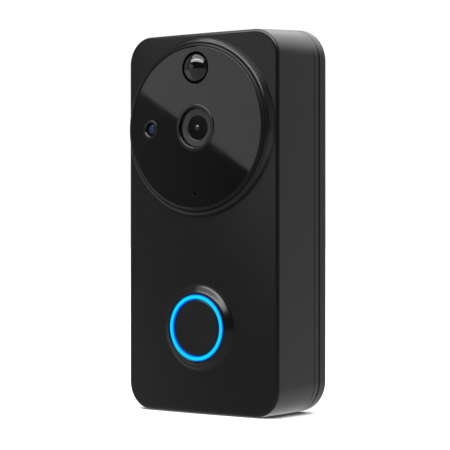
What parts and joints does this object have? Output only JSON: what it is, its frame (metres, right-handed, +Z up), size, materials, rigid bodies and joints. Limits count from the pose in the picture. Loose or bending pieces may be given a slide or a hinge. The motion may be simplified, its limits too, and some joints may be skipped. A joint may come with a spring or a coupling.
{
  "type": "video doorbell",
  "caption": "Battery video doorbell on its wall bracket: round camera panel above a push button with a glowing ring.",
  "frame": {"origin": "centre of the bracket's wall face", "axes": "+Z up along the doorbell's height, +Y into the wall, +X to the right as seen from the front"},
  "size_m": [0.0714, 0.0355, 0.1399],
  "materials": {
    "housing_plastic": "fine satin moulded texture",
    "bezel_plastic": "matt",
    "gloss_panel": "polished black",
    "gloss_trim": "polished black",
    "baffle": "satin dark grey",
    "clear_glass": "clear",
    "coated_lens": "coated, very dark",
    "sensor_eye": "polished, bluish",
    "button_plastic": "satin",
    "light_ring": "glowing diffuser",
    "inner_plastic": "plain moulded",
    "circuit_board": "solder mask",
    "chip": "moulded",
    "plated_metal": "plated",
    "spring_steel": "spring steel",
    "screw_steel": "zinc plated",
    "brass": "plated brass",
    "led": "clear moulded",
    "rubber": "matt",
    "cell_sleeve": "shrink sleeve",
    "flex_film": "polyimide film"
  },
  "bodies": {
    "bracket": {"wall_bracket": "housing_plastic", "latch_clip": "spring_steel"},
    "housing": {"front_housing": "housing_plastic", "rear_cover": "housing_plastic", "housing_gasket": "rubber", "bezel_ring": "bezel_plastic", "lens_panel": "gloss_panel", "panel_seal": "rubber", "optics_frame": "inner_plastic", "sensor_board": "circuit_board", "microphone": "plated_metal", "microphone_boot": "rubber", "pir_lens": "gloss_panel", "pir_sensor": "plated_metal", "light_sensor_collar": "gloss_trim", "light_sensor": "sensor_eye", "camera_trim_ring": "gloss_trim", "camera_cover_glass": "clear_glass", "camera_baffle": "baffle", "front_lens_element": "coated_lens", "lens_barrel": "inner_plastic", "lens_holder": "inner_plastic", "image_sensor": "chip", "camera_board": "circuit_board", "light_ring": "light_ring", "button_seal": "rubber", "button_board": "circuit_board", "tact_switch": "chip", "button_flex": "flex_film", "main_board": "circuit_board", "processor": "chip", "radio_module": "plated_metal", "charging_socket": "plated_metal", "reset_switch": "chip", "speaker_gasket": "rubber", "speaker": "chip", "cell_tray": "inner_plastic", "housing_screw_1": "screw_steel", "ir_led_1": "led", "ring_led_1": "led", "housing_screw_2": "screw_steel", "ir_led_2": "led", "ring_led_2": "led", "housing_screw_3": "screw_steel", "ir_led_3": "led", "ring_led_3": "led", "housing_screw_4": "screw_steel", "ir_led_4": "led", "ring_led_4": "led", "cell_1": "cell_sleeve", "contact_spring_1": "spring_steel", "contact_plate_1": "brass", "cell_2": "cell_sleeve", "contact_spring_2": "spring_steel", "contact_plate_2": "brass"},
    "button": {"button_cap": "button_plastic"},
    "plunger": {"tact_plunger": "inner_plastic"},
    "reset": {"reset_button": "rubber"},
    "port_flap": {"port_cover": "rubber"}
  },
  "joints": [
    {"name": "bracket_hinge", "type": "hinge", "parent": "bracket", "child": "housing", "pos_m": [0, -0.0049, 0.07], "axis": [-1, 0, 0], "range_deg": [0, 25], "deforming": ["latch_clip"]},
    {"name": "button_press", "type": "slide", "parent": "housing", "child": "button", "axis": [0, 1, 0], "range_m": [0, 0.0005], "stiffness_N_per_m": 3000, "springref_m": -0.0002},
    {"name": "plunger_travel", "type": "slide", "parent": "housing", "child": "plunger", "axis": [0, 1, 0], "range_m": [0, 0.0005]},
    {"name": "reset_press", "type": "slide", "parent": "housing", "child": "reset", "axis": [0, -1, 0], "range_m": [0, 0.0004], "stiffness_N_per_m": 2500, "springref_m": -0.0001},
    {"name": "port_cover_hinge", "type": "hinge", "parent": "housing", "child": "port_flap", "pos_m": [-0.004, -0.0051, 0.024], "axis": [1, 0, 0], "range_deg": [0, 110]}
  ],
  "couplings": [
    {"joint": "plunger_travel", "follows": "button_press", "ratio": 1}
  ]
}
